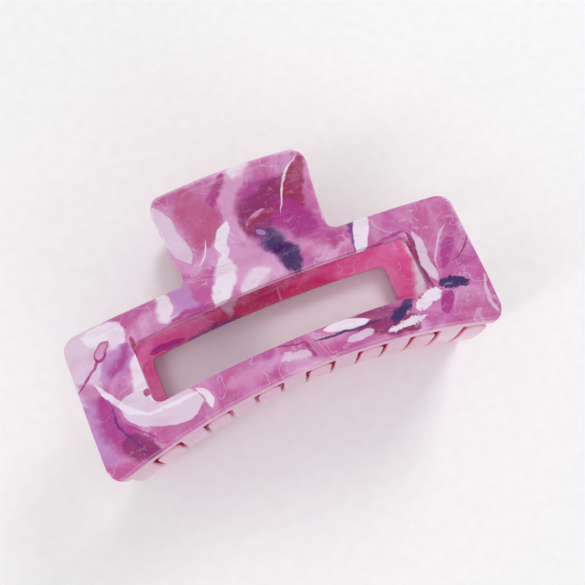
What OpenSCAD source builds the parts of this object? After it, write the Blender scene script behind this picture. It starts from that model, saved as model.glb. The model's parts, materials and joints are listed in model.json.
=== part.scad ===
// Rectangular claw clip for hair: two identical curved jaws, a steel hinge pin and a torsion spring.
// X runs along the clip, +Y points to the thumb tabs and +Z is up.
// The clip lies closed on its back jaw, and the origin is the middle of its footprint.

/* [Clip] */
// Length of each jaw
clip_length = 96; // [88:1:116]
// Depth of the closed clip, from one face to the other
clip_depth = 36; // [32:1:44]
// Thickness of the moulded wall
wall = 2.8; // [2.3:0.1:3.3]

/* [Face] */
// Height of the face at its two ends
face_height = 34; // [32:1:42]
// How far the middle of the top edge rises above its ends
top_rise = 2.8; // [1.5:0.1:4]
// How far the middle of the toothed edge rises above its ends
bottom_rise = 7.5; // [6:0.1:9]
// Radius of the face's two corners beside the tab
upper_corner_radius = 4; // [2.5:0.1:5]
// Radius of the face's two corners at the teeth
lower_corner_radius = 4.8; // [3:0.1:6]
// Distance from the face's mid height down to where its flat lower band ends
band_drop = 5; // [3:0.5:7]
// Angle at which the face leans inwards above the flat band
face_lean = 5.5; // [3:0.5:8]

/* [Window] */
// Width of the bar at each end of the window
end_bar = 14.2; // [11:0.1:18]
// Height of the window at its two ends
window_height = 14.8; // [11:0.1:16]
// Height of the window's middle above the face's mid height, at its ends
window_lift = 3.2; // [2:0.1:4]
// How far the middle of the window's top edge rises
window_top_rise = 1.6; // [0.8:0.1:2.4]
// How far the middle of the window's lower edge rises
window_bottom_rise = 1.9; // [0.8:0.1:3]
// Radius of the window's corners
window_radius = 2; // [1:0.1:4]

/* [Thumb tab] */
// Width of the tab where it leaves the face
tab_root_width = 36.4; // [34:0.1:42]
// Width of the tab at its tip
tab_tip_width = 39.6; // [37:0.1:46]
// Length of the tab above the middle of the face's top edge
tab_length = 21.2; // [17:0.1:24]
// How far the middle of the tip rises above its corners
tip_rise = 0.8; // [0.5:0.1:2]
// Radius of the tip's two corners
tip_radius = 3; // [2:0.1:5]
// Fillet between the tab and the face's top edge
root_fillet = 2.6; // [1.5:0.1:4]
// Height of the neck's outer surface above the clip's mid plane
neck_height = 11.5; // [10.5:0.1:13]
// Distance of the neck above the middle of the face's top edge
neck_offset = 4.7; // [4:0.1:6]
// Radius of the hollow where the face runs into the neck
neck_radius = 7; // [6:0.1:9]
// Radius of the shoulder between the face and the neck
shoulder_radius = 5.5; // [4.5:0.1:7]

/* [Teeth] */
// Number of teeth on each jaw
teeth = 7; // [5:1:9]
// Gap between neighbouring teeth of the closed jaws
tooth_gap = 0.7; // [0.5:0.05:1.2]
// Distance from the last tooth to the end of the jaw
end_margin = 2.5; // [2:0.1:5]
// Distance from a tooth's tip to the other jaw's web
tip_clearance = 1; // [0.6:0.1:2]
// Radius of the corners of each tooth's tip
tooth_radius = 2.2; // [1:0.1:2.5]
// How far the teeth bow outwards at the clip's mid plane
tooth_bow = 2.2; // [1.5:0.1:3]
// Height of the web that joins the teeth to the face
web_height = 3.6; // [3.4:0.1:5]
// Outer radius of the bend between the face and the web
bend_radius = 1.2; // [0.8:0.1:2]
// Radius of the corner inside that bend
bend_inner_radius = 0.5; // [0.3:0.1:0.8]

/* [Hinge] */
// Diameter of the steel pin
pin_d = 2; // [1.6:0.1:2.6]
// Running clearance on radius between the pin and the front jaw's lugs
pin_clearance = 0.05; // [0.02:0.01:0.1]
// Interference on radius between the pin and the back jaw's lugs
pin_grip = 0.01; // [0.005:0.005:0.02]
// Thickness of each lug along the pin
lug_thickness = 3.2; // [2.6:0.1:4]
// Gap between neighbouring lugs
lug_gap = 0.6; // [0.4:0.1:1]
// Outer radius of each lug round the pin
lug_radius = 3.2; // [2.8:0.1:3.6]
// Width of each lug where it meets the neck
lug_root = 9; // [8:0.1:10]
// How far the pin stands out of the last lug at each end
pin_overhang = 0.6; // [0.4:0.1:1.5]

/* [Spring] */
// Diameter of the spring wire
wire_d = 1.2; // [0.9:0.1:1.4]
// Number of wires side by side in the coil
coils = 8; // [6:1:9]
// Gap between neighbouring coils
wire_gap = 0.08; // [0.04:0.01:0.15]
// Mean radius of the coils
coil_radius = 2.9; // [2.6:0.1:3.3]
// Gap between the end coils and the inner lugs
coil_gap = 0.5; // [0.3:0.1:1]
// Reach of each leg along Y, from the pin to its foot
leg_reach = 9.5; // [7:0.1:11]
// Length of the foot that lies along the tab
foot_length = 3; // [2.5:0.1:4]
// Clearance between a foot and the tab it presses
foot_clearance = 0.3; // [0.2:0.05:0.5]

/* [Hidden] */
ARC_STEPS = 10;
BORE_FN = 64;
WIRE_FN = 24;
// Overlap of pieces that are joined into one solid
join = 0.5;
// Reach of cutting shapes past what they cut
over = 40;

half_length = clip_length / 2;
half_depth = clip_depth / 2;
half_face = face_height / 2;
band_y = -band_drop;
half_window = half_length - end_bar;
window_top = window_lift + window_height / 2;
window_bottom = window_lift - window_height / 2;
face_top = half_face + top_rise;
tip_y = face_top + tab_length;
pin_y = face_top + neck_offset;

// Radius of a circular arc from its half chord and its rise
function arc_radius(half_chord, rise) = (half_chord * half_chord + rise * rise) / (2 * rise);

top_arc = arc_radius(half_length, top_rise);
toe_arc = arc_radius(half_length, bottom_rise);
window_top_arc = arc_radius(half_window, window_top_rise);
window_bottom_arc = arc_radius(half_window, window_bottom_rise);
tip_arc = arc_radius(tab_tip_width / 2, tip_rise);
bow_arc = arc_radius(half_depth, tooth_bow);
tab_arc = arc_radius(tip_y - pin_y, half_depth - neck_height);

// Centres of the arcs, all on the clip's middle line
top_centre = [0, face_top - top_arc];
toe_centre = [0, -half_face + bottom_rise - toe_arc];
window_top_centre = [0, window_top + window_top_rise - window_top_arc];
window_bottom_centre = [0, window_bottom + window_bottom_rise - window_bottom_arc];
tip_centre = [0, tip_y - tip_arc];

// The toothed wall is turned about toe_centre: radius of its outer surface at the mid plane
toe_mid = toe_arc - tooth_bow;

// Centre of a bend of some radius in a surface at a depth below the outer side,
// as [radius from toe_centre, z]
function bend_centre(depth, radius) =
    let (z = half_depth - depth - radius)
    [toe_mid + bow_arc - sqrt(pow(bow_arc - depth - radius, 2) - z * z), z];

// Radius from toe_centre beyond which both sides of the face are flat
bend_end = max(bend_centre(0, bend_radius)[0], bend_centre(wall, bend_inner_radius)[0]);

tooth_pitch = (half_length - end_margin + tooth_gap / 2) * 2 / teeth;
tooth_width = tooth_pitch / 2 - tooth_gap;
web_z = half_depth - web_height;
tooth_tip_z = -(web_z - tip_clearance);

coil_pitch = wire_d + wire_gap;
coil_half = coil_pitch * (coils - 1) / 2;
inner_lug_x = coil_half + wire_d / 2 + coil_gap + lug_thickness / 2;
outer_lug_x = inner_lug_x + lug_thickness + lug_gap;
pin_length = 2 * (outer_lug_x + lug_thickness / 2 + pin_overhang);

// The lowest point of the teeth, and the shift that centres the clip on the origin
toe_low = toe_centre[1] + sqrt(pow(toe_mid, 2) - pow(half_length - end_margin, 2));
centre_y = (tip_y + toe_low) / 2;

function unit(v) = v / norm(v);
function arc(c, r, from, to, steps = ARC_STEPS) =
    [for (i = [0 : steps]) let (a = from + (to - from) * i / steps) c + r * [cos(a), sin(a)]];
function bearing(from, to) = atan2(to[1] - from[1], to[0] - from[0]);
function mirrored(points) = [for (i = [len(points) - 1 : -1 : 0]) [-points[i][0], points[i][1]]];

// Point on the line p + t*d that lies at distance r from c, on the far side or the near side
function on_line(p, d, c, r, side) =
    let (m = c - p, along = m * d)
    p + d * (along + side * sqrt(along * along - m * m + r * r));

// A circle's centre on the vertical line x, at distance r above c
function above(x, c, r) = [x, c[1] + sqrt(r * r - x * x)];

// Side lines of the tab
tab_slope = unit([(tab_tip_width - tab_root_width) / 2, tip_y - tip_rise - face_top]);
tab_normal = [tab_slope[1], -tab_slope[0]];
tab_foot = [tab_root_width / 2, face_top];

// Centres of the corner arcs on the right half of the outline
lower_corner = above(half_length - lower_corner_radius, toe_centre,
                     toe_mid + lower_corner_radius);
upper_corner = above(half_length - upper_corner_radius, top_centre,
                     top_arc - upper_corner_radius);
root_corner = on_line(tab_foot + root_fillet * tab_normal, tab_slope, top_centre,
                      top_arc + root_fillet, 1);
tip_corner = on_line(tab_foot - tip_radius * tab_normal, tab_slope, tip_centre,
                     tip_arc - tip_radius, 1);
tab_side = atan2(tab_normal[1], tab_normal[0]);

// Right half of the jaw's outline, from the toothed edge to the tab's tip
outline_half = concat(
    arc(toe_centre, toe_mid, 90, bearing(toe_centre, lower_corner)),
    arc(lower_corner, lower_corner_radius, bearing(lower_corner, toe_centre), 0),
    arc(upper_corner, upper_corner_radius, 0, bearing(top_centre, upper_corner)),
    arc(top_centre, top_arc, bearing(top_centre, upper_corner), bearing(top_centre, root_corner)),
    arc(root_corner, root_fillet, 360 + bearing(root_corner, top_centre), 180 + tab_side),
    arc(tip_corner, tip_radius, tab_side, bearing(tip_centre, tip_corner)),
    arc(tip_centre, tip_arc, bearing(tip_centre, tip_corner), 90));

// Right half of the window, from its lower edge to its top edge
sill_corner = above(half_window - window_radius, window_bottom_centre,
                    window_bottom_arc + window_radius);
head_corner = above(half_window - window_radius, window_top_centre,
                    window_top_arc - window_radius);
window_half = concat(
    arc(window_bottom_centre, window_bottom_arc, 90, bearing(window_bottom_centre, sill_corner)),
    arc(sill_corner, window_radius, bearing(sill_corner, window_bottom_centre), 0),
    arc(head_corner, window_radius, 0, bearing(window_top_centre, head_corner)),
    arc(window_top_centre, window_top_arc, bearing(window_top_centre, head_corner), 90));

// Side view of the wall, with points as [y, z]: face, shoulder, neck and flaring tab
lean_dir = [cos(face_lean), -sin(face_lean)];
lean_normal = [sin(face_lean), cos(face_lean)];
band_end = [band_y, half_depth];
neck_centre = [pin_y, neck_height + neck_radius];
tab_centre = [pin_y, neck_height + tab_arc];
shoulder_centre = on_line(band_end - shoulder_radius * lean_normal, lean_dir, neck_centre,
                          shoulder_radius + neck_radius, -1);
shoulder_turn = bearing(shoulder_centre, neck_centre);
tab_turn = asin((tip_y - pin_y) / tab_arc) + 6;

// The wall's surface at a depth below its outer side
function wall_line(depth) = concat(
    [[-over, half_depth - depth], band_end - depth * [tan(face_lean / 2), 1]],
    arc(shoulder_centre, shoulder_radius - depth, 90 - face_lean, shoulder_turn),
    arc(neck_centre, neck_radius + depth, shoulder_turn + 180, 270),
    arc(tab_centre, tab_arc + depth, 270, 270 + tab_turn));

// Section of the toothed wall's surface at a depth, with points as [radius from toe_centre, z]
bow_centre = [toe_mid + bow_arc, 0];
function toe_line(depth, radius) =
    let (bend = bend_centre(depth, radius),
         turn = 180 - asin(bend[1] / (bow_arc - depth - radius)))
    concat(
        [[bend_end + 2 * join, half_depth - depth]],
        arc(bend, radius, 90, turn),
        arc(bow_centre, bow_arc - depth, turn,
            180 + asin((-tooth_tip_z + join) / (bow_arc - depth)), 2 * ARC_STEPS));

function reversed(points) = [for (i = [len(points) - 1 : -1 : 0]) points[i]];

module outline_shape() {
    polygon(concat(outline_half, mirrored(outline_half)));
}

module window_shape() {
    polygon(concat(window_half, mirrored(window_half)));
}

// The face, neck and tab: the side view run along the clip and cut to the outline
module face_plate() {
    intersection() {
        rotate([90, 0, 90])
            linear_extrude(clip_length + 2 * join, center = true)
                polygon(concat(wall_line(0), reversed(wall_line(wall))));
        linear_extrude(clip_depth)
            difference() {
                outline_shape();
                window_shape();
                translate(toe_centre) circle(r = bend_end + join, $fn = 256);
            }
    }
}

// One tooth seen from below, with its root on the web and its tip rounded
module tooth_shape() {
    reach = web_z - tooth_tip_z;
    corner = [tooth_width / 2 - tooth_radius, tooth_tip_z + tooth_radius];
    side = arc(corner, tooth_radius, -90, 0);
    polygon(concat([[-tooth_width / 2, web_z + join]], reversed(mirrored(reversed(side))),
                   side, [[tooth_width / 2, tooth_tip_z + reach + join]]));
}

// The web under the bend with its row of teeth, offset a quarter pitch to one side
module comb_shape() {
    translate([-half_length - join, web_z])
        square([clip_length + 2 * join, half_depth - web_z + join]);
    for (i = [0 : teeth - 1])
        translate([(i - (teeth - 1) / 2) * tooth_pitch - tooth_pitch / 4, 0]) tooth_shape();
}

// The bend and the toothed wall, turned about the arc of the toothed edge
module toe_wall() {
    sweep = 2 * asin(half_length / toe_mid) + 4;
    intersection() {
        translate(toe_centre)
            rotate([0, 0, 90 - sweep / 2])
                rotate_extrude(angle = sweep, $fn = 256)
                    polygon(concat(toe_line(0, bend_radius),
                                   reversed(toe_line(wall, bend_inner_radius))));
        translate([0, -half_face + over, 0])
            rotate([90, 0, 0])
                linear_extrude(2 * over) comb_shape();
        union() {
            translate([0, 0, web_z]) linear_extrude(web_height) outline_shape();
            translate([0, 0, -half_depth]) linear_extrude(clip_depth - web_height)
                square([2 * (half_length - end_margin + join), 2 * over], center = true);
        }
    }
}

// Side view of a lug: a round eye and two straight sides that run up into the neck
module lug_shape() {
    root_z = neck_height - wall / 2;
    tilt = asin(lug_radius / norm([lug_root / 2, root_z]));
    lean = atan2(root_z, lug_root / 2) - tilt;
    rim = lug_radius * [sin(lean), -cos(lean)];
    polygon([[lug_root / 2, root_z], rim, [-rim[0], rim[1]], [-lug_root / 2, root_z]]);
    circle(r = lug_radius, $fn = BORE_FN);
}

module lug(x) {
    translate([x, pin_y, 0])
        rotate([90, 0, 90])
            linear_extrude(lug_thickness, center = true) lug_shape();
}

module pin_bore(x, radius) {
    translate([x, pin_y, 0])
        rotate([0, 90, 0])
            cylinder(h = lug_thickness + 2 * join, r = radius, center = true, $fn = BORE_FN);
}

// One jaw above the mid plane, with its two lugs bored to a radius
module jaw(bore) {
    difference() {
        union() {
            face_plate();
            toe_wall();
            lug(-outer_lug_x);
            lug(inner_lug_x);
        }
        pin_bore(-outer_lug_x, bore);
        pin_bore(inner_lug_x, bore);
    }
}

module front_jaw() {
    color("orchid")
        translate([0, -centre_y, half_depth]) jaw(pin_d / 2 + pin_clearance);
}

module back_jaw() {
    color("mediumvioletred")
        translate([0, -centre_y, half_depth])
            rotate([0, 180, 0]) jaw(pin_d / 2 - pin_grip);
}

module hinge_pin() {
    color("silver")
        translate([0, pin_y - centre_y, half_depth])
            rotate([0, 90, 0])
                cylinder(h = pin_length, r = pin_d / 2, center = true, $fn = BORE_FN);
}

// One leg leaves the coil at a tangent, and its foot lies along the inside of a tab.
module spring_leg() {
    inner = tab_arc + wall;
    foot_y = leg_reach;
    foot_z = neck_height + tab_arc - sqrt(pow(inner, 2) - pow(foot_y, 2))
        - (wire_d / 2 + foot_clearance) * inner / sqrt(pow(inner, 2) - pow(foot_y, 2));
    reach = norm([foot_y, foot_z]);
    lean = atan2(foot_z, foot_y) - asin(coil_radius / reach);
    leg_length = sqrt(pow(reach, 2) - pow(coil_radius, 2));
    leg_x = coil_half;
    leg_radius = 0.9 * wire_d / 2;
    translate([leg_x, -coil_radius * sin(lean), coil_radius * cos(lean)])
        rotate([lean - 90, 0, 0])
            cylinder(h = leg_length, r = leg_radius, $fn = WIRE_FN);
    translate([leg_x - foot_length, foot_y, foot_z])
        rotate([0, 90, 0])
            cylinder(h = foot_length + wire_d / 2, r = wire_d / 2, $fn = WIRE_FN);
}

module torsion_spring() {
    color("gray")
        translate([0, pin_y - centre_y, half_depth]) {
            rotate([0, 90, 0])
                difference() {
                    cylinder(h = 2 * coil_half + wire_d, r = coil_radius + wire_d / 2,
                             center = true, $fn = BORE_FN);
                    cylinder(h = 2 * coil_half + 2 * wire_d, r = coil_radius - wire_d / 2,
                             center = true, $fn = BORE_FN);
                }
            spring_leg();
            rotate([0, 180, 0]) spring_leg();
        }
}

front_jaw();
back_jaw();
hinge_pin();
torsion_spring();
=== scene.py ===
import json
import math

import bmesh
import bpy
import numpy as np
from mathutils import Matrix, Vector
from mathutils.geometry import delaunay_2d_cdt


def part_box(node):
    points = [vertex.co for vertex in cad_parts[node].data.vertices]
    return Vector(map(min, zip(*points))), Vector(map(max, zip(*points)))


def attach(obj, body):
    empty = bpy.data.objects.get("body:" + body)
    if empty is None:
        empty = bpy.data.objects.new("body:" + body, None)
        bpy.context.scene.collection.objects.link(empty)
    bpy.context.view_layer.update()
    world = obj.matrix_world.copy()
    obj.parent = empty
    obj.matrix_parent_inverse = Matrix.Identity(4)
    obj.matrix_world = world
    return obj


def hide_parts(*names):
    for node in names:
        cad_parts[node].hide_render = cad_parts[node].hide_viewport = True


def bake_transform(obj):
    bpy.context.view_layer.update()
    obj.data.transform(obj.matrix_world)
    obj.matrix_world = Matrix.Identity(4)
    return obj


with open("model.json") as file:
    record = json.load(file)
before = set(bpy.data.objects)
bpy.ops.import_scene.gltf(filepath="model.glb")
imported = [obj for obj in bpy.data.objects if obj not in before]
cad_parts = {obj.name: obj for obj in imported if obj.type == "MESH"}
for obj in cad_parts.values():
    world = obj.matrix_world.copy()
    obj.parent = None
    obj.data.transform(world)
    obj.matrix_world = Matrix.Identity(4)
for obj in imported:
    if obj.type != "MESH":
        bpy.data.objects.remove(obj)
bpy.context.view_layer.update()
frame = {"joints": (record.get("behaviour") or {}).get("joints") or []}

# Sizes are in millimetres in the front jaw's own frame: x along the clip, y towards the thumb
# tab from the face's mid height, z up from the clip's mid plane. The back jaw is the same
# shape turned half a turn about y.
MM = 0.001
PIN = Vector(frame["joints"][0]["pos_m"]) / MM
JAW_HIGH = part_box("front_jaw")[1] / MM
HALF_LENGTH = round(JAW_HIGH.x, 1)
HALF_DEPTH = PIN.z
WALL = 2.8

HALF_FACE = 17.0
TOP_RISE = 2.8
TOOTHED_RISE = 7.5
UPPER_CORNER = 4.0
LOWER_CORNER = 4.8
BAND_Y = -5.0
FACE_LEAN = math.radians(5.5)
LEAN_BLEND = 40.0

HALF_WINDOW = HALF_LENGTH - 14.2
WINDOW_TOP = 10.6
WINDOW_BOTTOM = -4.2
WINDOW_TOP_RISE = 1.6
WINDOW_BOTTOM_RISE = 1.9
WINDOW_CORNER = 2.0

TAB_ROOT = 18.2
TAB_TIP = 19.8
TAB_LENGTH = 21.2
TIP_RISE = 0.8
TIP_CORNER = 3.0
# The tab ends square to its own surface, so its outer edge stops this far short of its box
TIP_SETBACK = 1.0
ROOT_FILLET = 2.6
NECK_HEIGHT = 11.5
NECK_OFFSET = 4.7
NECK_RADIUS = 7.0
SHOULDER_RADIUS = 5.5

TEETH = 7
TOOTH_GAP = 0.7
END_MARGIN = 2.5
WEB_HEIGHT = 3.6
TIP_CLEARANCE = 1.0
TOOTH_CORNER = 2.2
TOOTH_BOW = 2.2
BEND_RADIUS = 1.2
BEND_INNER_RADIUS = 0.5
# Length of the face over which its inner side is drawn towards the inside of the bend
BEND_BLEND = 6.0

LUG_THICKNESS = 3.2
LUG_GAP = 0.6
LUG_RADIUS = 3.2
LUG_ROOT = 9.0
BORE_RADIUS = 1.05

WIRE = 1.2
WIRE_GAP = 0.08
COILS = 8
COIL_RADIUS = 2.9
COIL_GAP = 0.5
LEG_REACH = 9.5
FOOT_LENGTH = 3.0
FOOT_CLEARANCE = 0.3

# Rounding of the moulded edges, and the mesh spacing over the jaw
RIM = 0.55
WINDOW_RIM = 0.4
RIM_STEPS = 4
SUPPORT = 0.2
WEB_CORNER = 1.2
ROOT_CORNER = 0.25
END_SLOPE = 1.0
GRID = 0.9

FACE_TOP = HALF_FACE + TOP_RISE
TIP_Y = FACE_TOP + TAB_LENGTH
PIN_Y = FACE_TOP + NECK_OFFSET
CENTRE_Y = PIN_Y - PIN.y


def arc_radius(half_chord, rise):
    """Radius of a circular arc from its half chord and its rise."""
    return (half_chord ** 2 + rise ** 2) / (2 * rise)


TOP_ARC = arc_radius(HALF_LENGTH, TOP_RISE)
TOE_ARC = arc_radius(HALF_LENGTH, TOOTHED_RISE)
TOE_MID = TOE_ARC - TOOTH_BOW
TOE_CENTRE_Y = -HALF_FACE + TOOTHED_RISE - TOE_ARC
BOW_ARC = arc_radius(HALF_DEPTH, TOOTH_BOW)
BOW_X = TOE_MID + BOW_ARC
TAB_ARC = arc_radius(TIP_Y - PIN_Y, HALF_DEPTH - NECK_HEIGHT)
TOOTH_PITCH = (HALF_LENGTH - END_MARGIN + TOOTH_GAP / 2) * 2 / TEETH
TOOTH_WIDTH = TOOTH_PITCH / 2 - TOOTH_GAP


# ---------------------------------------------------------------- plane geometry
def arc(centre, radius, start, end, step=0.45):
    """Points on a circular arc between two angles in radians, ends included."""
    count = max(3, math.ceil(abs(end - start) * radius / step))
    angles = np.linspace(start, end, count + 1)
    return [(centre[0] + radius * math.cos(a), centre[1] + radius * math.sin(a)) for a in angles]


def bearing(start, end):
    return math.atan2(end[1] - start[1], end[0] - start[0])


def above(x, centre, radius):
    """Point on the vertical line x at a distance above a centre."""
    return (x, centre[1] + math.sqrt(radius ** 2 - x ** 2))


def on_line(point, direction, centre, radius, side):
    """Point on a line at a distance from a centre, on its far (1) or near (-1) side."""
    p, d, c = Vector(point), Vector(direction), Vector(centre)
    along = (c - p).dot(d)
    offset = math.sqrt(along ** 2 - (c - p).length_squared + radius ** 2)
    return tuple(p + d * (along + side * offset))


def mirrored(points):
    return [(-x, y) for x, y in reversed(points)]


def densified(points, step=0.6):
    """A closed outline with its long edges cut into short ones and repeated points left out."""
    result = []
    for p, q in zip(points, points[1:] + points[:1]):
        length = math.dist(p, q)
        if length < 1e-6:
            continue
        count = max(1, round(length / step))
        result += [(p[0] + (q[0] - p[0]) * i / count, p[1] + (q[1] - p[1]) * i / count)
                   for i in range(count)]
    return result


def rounded(points):
    """An open line of (x, y, radius) with each corner that has a radius rounded."""
    result = [points[0][:2]]
    for before, here, after in zip(points, points[1:], points[2:]):
        corner, radius = Vector(here[:2]), here[2]
        one = (Vector(before[:2]) - corner).normalized()
        two = (Vector(after[:2]) - corner).normalized()
        half = math.acos(max(-1.0, min(1.0, one.dot(two)))) / 2
        if radius == 0 or half > 1.5:
            result.append(tuple(corner))
            continue
        centre = corner + (one + two).normalized() * radius / math.sin(half)
        start = corner + one * radius / math.tan(half)
        end = corner + two * radius / math.tan(half)
        turn = bearing(centre, end) - bearing(centre, start)
        turn = (turn + math.pi) % (2 * math.pi) - math.pi
        first = bearing(centre, start)
        result += arc(centre, radius, first, first + turn, 0.3)
    result.append(points[-1][:2])
    return result


# ---------------------------------------------------------------- the jaw's surface
NECK = (PIN_Y, NECK_HEIGHT + NECK_RADIUS)
TAB_CENTRE = (PIN_Y, NECK_HEIGHT + TAB_ARC)
LEAN_DIRECTION = (math.cos(FACE_LEAN), -math.sin(FACE_LEAN))
LEAN_NORMAL = (math.sin(FACE_LEAN), math.cos(FACE_LEAN))
SHOULDER = on_line((BAND_Y - SHOULDER_RADIUS * LEAN_NORMAL[0],
                    HALF_DEPTH - SHOULDER_RADIUS * LEAN_NORMAL[1]),
                   LEAN_DIRECTION, NECK, SHOULDER_RADIUS + NECK_RADIUS, -1)
SHOULDER_TURN = bearing(SHOULDER, NECK)
LEAN_HALF = LEAN_BLEND * math.tan(FACE_LEAN / 2)


def side_view(y):
    """Height and outward normal (y, z) of the outer surface above a place on the y axis."""
    if y < BAND_Y - LEAN_HALF:
        return HALF_DEPTH, (0.0, 1.0)
    if y < BAND_Y + LEAN_HALF:
        centre, radius, side = (BAND_Y - LEAN_HALF, HALF_DEPTH - LEAN_BLEND), LEAN_BLEND, 1
    elif y < SHOULDER[0] + SHOULDER_RADIUS * math.sin(FACE_LEAN):
        return HALF_DEPTH - (y - BAND_Y) * math.tan(FACE_LEAN), LEAN_NORMAL
    elif y < SHOULDER[0] + SHOULDER_RADIUS * math.cos(SHOULDER_TURN):
        centre, radius, side = SHOULDER, SHOULDER_RADIUS, 1
    elif y < PIN_Y:
        centre, radius, side = NECK, NECK_RADIUS, -1
    else:
        centre, radius, side = TAB_CENTRE, TAB_ARC, -1
    height = side * math.sqrt(max(0.0, radius ** 2 - (y - centre[0]) ** 2))
    return centre[1] + height, (side * (y - centre[0]) / radius, side * height / radius)


def bend_centre(depth, radius):
    """Centre (radius from the toothed edge's centre, z) of a bend in a surface at a depth."""
    z = HALF_DEPTH - depth - radius
    return BOW_X - math.sqrt((BOW_ARC - depth - radius) ** 2 - z ** 2), z


OUTER_BEND = bend_centre(0, BEND_RADIUS)
INNER_BEND = bend_centre(WALL, BEND_INNER_RADIUS)
OUTER_TURN = math.pi - math.asin(OUTER_BEND[1] / (BOW_ARC - BEND_RADIUS))
INNER_TURN = math.pi - math.asin(INNER_BEND[1] / (BOW_ARC - WALL - BEND_INNER_RADIUS))
BEND_LENGTH = BEND_RADIUS * (OUTER_TURN - math.pi / 2)


def toe_section(s):
    """Outer and inner points (radius, z) of the toothed wall at a length s below the face."""
    if s < BEND_LENGTH:
        part = s / BEND_LENGTH
        outer = math.pi / 2 + part * (OUTER_TURN - math.pi / 2)
        inner = math.pi / 2 + part * (INNER_TURN - math.pi / 2)
        return ((OUTER_BEND[0] + BEND_RADIUS * math.cos(outer),
                 OUTER_BEND[1] + BEND_RADIUS * math.sin(outer)),
                (INNER_BEND[0] + BEND_INNER_RADIUS * math.cos(inner),
                 INNER_BEND[1] + BEND_INNER_RADIUS * math.sin(inner)))
    outer = OUTER_TURN + (s - BEND_LENGTH) / BOW_ARC
    inner = outer
    if outer < math.pi:
        inner = math.pi - (math.pi - outer) * (math.pi - INNER_TURN) / (math.pi - OUTER_TURN)
    return ((BOW_X + BOW_ARC * math.cos(outer), BOW_ARC * math.sin(outer)),
            (BOW_X + (BOW_ARC - WALL) * math.cos(inner), (BOW_ARC - WALL) * math.sin(inner)))


def section_length(z):
    """Length along the toothed wall's outer surface from the face down to a height."""
    return BEND_LENGTH + BOW_ARC * (math.pi - math.asin(z / BOW_ARC) - OUTER_TURN)


def length_at_radius(radius):
    """Length along the toothed wall's outer surface down to a distance from its centre."""
    bend_low = OUTER_BEND[0] + BEND_RADIUS * math.cos(OUTER_TURN)
    if radius > bend_low:
        return BEND_RADIUS * (math.acos((radius - OUTER_BEND[0]) / BEND_RADIUS) - math.pi / 2)
    return BEND_LENGTH + BOW_ARC * (math.acos((radius - BOW_X) / BOW_ARC) - OUTER_TURN)


# The jaw is laid out flat on (a, v): a is the angle about the toothed edge's centre times its
# radius, and v is the distance above the bend, with the toothed wall unrolled below it.
def flat(point):
    x, y = point
    radius = math.hypot(x, y - TOE_CENTRE_Y)
    v = radius - OUTER_BEND[0]
    if v < 0:
        v = -length_at_radius(radius)
    return math.atan2(x, y - TOE_CENTRE_Y) * TOE_ARC, v


def place_jaw(a, v, depth):
    """Point of the jaw at a place on its flat layout and a depth below its outer side."""
    angle = a / TOE_ARC
    side, up = math.sin(angle), math.cos(angle)
    if v < 0:
        outer, inner = toe_section(-v)
        part = depth / WALL
        radius = outer[0] + (inner[0] - outer[0]) * part
        z = outer[1] + (inner[1] - outer[1]) * part
        x = outer[0] * side
        return x, TOE_CENTRE_Y + math.sqrt(radius ** 2 - x ** 2), z
    radius = OUTER_BEND[0] + v
    x, y = radius * side, TOE_CENTRE_Y + radius * up
    z, normal = side_view(y)
    pull = (INNER_BEND[0] - OUTER_BEND[0]) * max(0.0, 1 - v / BEND_BLEND) * depth / WALL
    return x, y - depth * normal[0] + pull / up, z - depth * normal[1]


def jaw_stretch(v):
    """Length along x of a unit of a at a height on the flat layout."""
    return 1 + max(0.0, v) / TOE_ARC


# ---------------------------------------------------------------- outlines
def face_half():
    """Right half of the jaw's outline above the web, from the web's end to the tab's tip."""
    toe = (0, TOE_CENTRE_Y)
    top = (0, FACE_TOP - TOP_ARC)
    tip_arc = arc_radius(TAB_TIP, TIP_RISE)
    tip = (0, TIP_Y - TIP_SETBACK - tip_arc)
    slope = Vector((TAB_TIP - TAB_ROOT, TIP_Y - TIP_RISE - FACE_TOP)).normalized()
    normal = Vector((slope.y, -slope.x))
    foot = Vector((TAB_ROOT, FACE_TOP))
    lower = above(HALF_LENGTH - LOWER_CORNER, toe, TOE_MID + LOWER_CORNER)
    upper = above(HALF_LENGTH - UPPER_CORNER, top, TOP_ARC - UPPER_CORNER)
    root = on_line(foot + ROOT_FILLET * normal, slope, top, TOP_ARC + ROOT_FILLET, 1)
    corner = on_line(foot - TIP_CORNER * normal, slope, tip, tip_arc - TIP_CORNER, 1)
    side = math.atan2(normal.y, normal.x)
    lowest = WEB_CORNER - section_length(HALF_DEPTH - WEB_HEIGHT)
    lower_arc = [p for p in arc(lower, LOWER_CORNER, bearing(lower, toe), 0, 0.3)
                 if flat(p)[1] > lowest]
    return [flat(p) for p in (
        lower_arc
        + densified_line(lower_arc[-1], (HALF_LENGTH, upper[1]))
        + arc(upper, UPPER_CORNER, 0, bearing(top, upper))
        + arc(top, TOP_ARC, bearing(top, upper), bearing(top, root))
        + arc(root, ROOT_FILLET, 2 * math.pi + bearing(root, top), math.pi + side)
        + densified_line((root[0] - ROOT_FILLET * normal.x, root[1] - ROOT_FILLET * normal.y),
                         (corner[0] + TIP_CORNER * normal.x, corner[1] + TIP_CORNER * normal.y))
        + arc(corner, TIP_CORNER, side, bearing(tip, corner))
        + arc(tip, tip_arc, bearing(tip, corner), math.pi / 2))]


def densified_line(start, end, step=0.6):
    count = max(1, round(math.dist(start, end) / step))
    return [(start[0] + (end[0] - start[0]) * i / count,
             start[1] + (end[1] - start[1]) * i / count) for i in range(1, count)]


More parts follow.
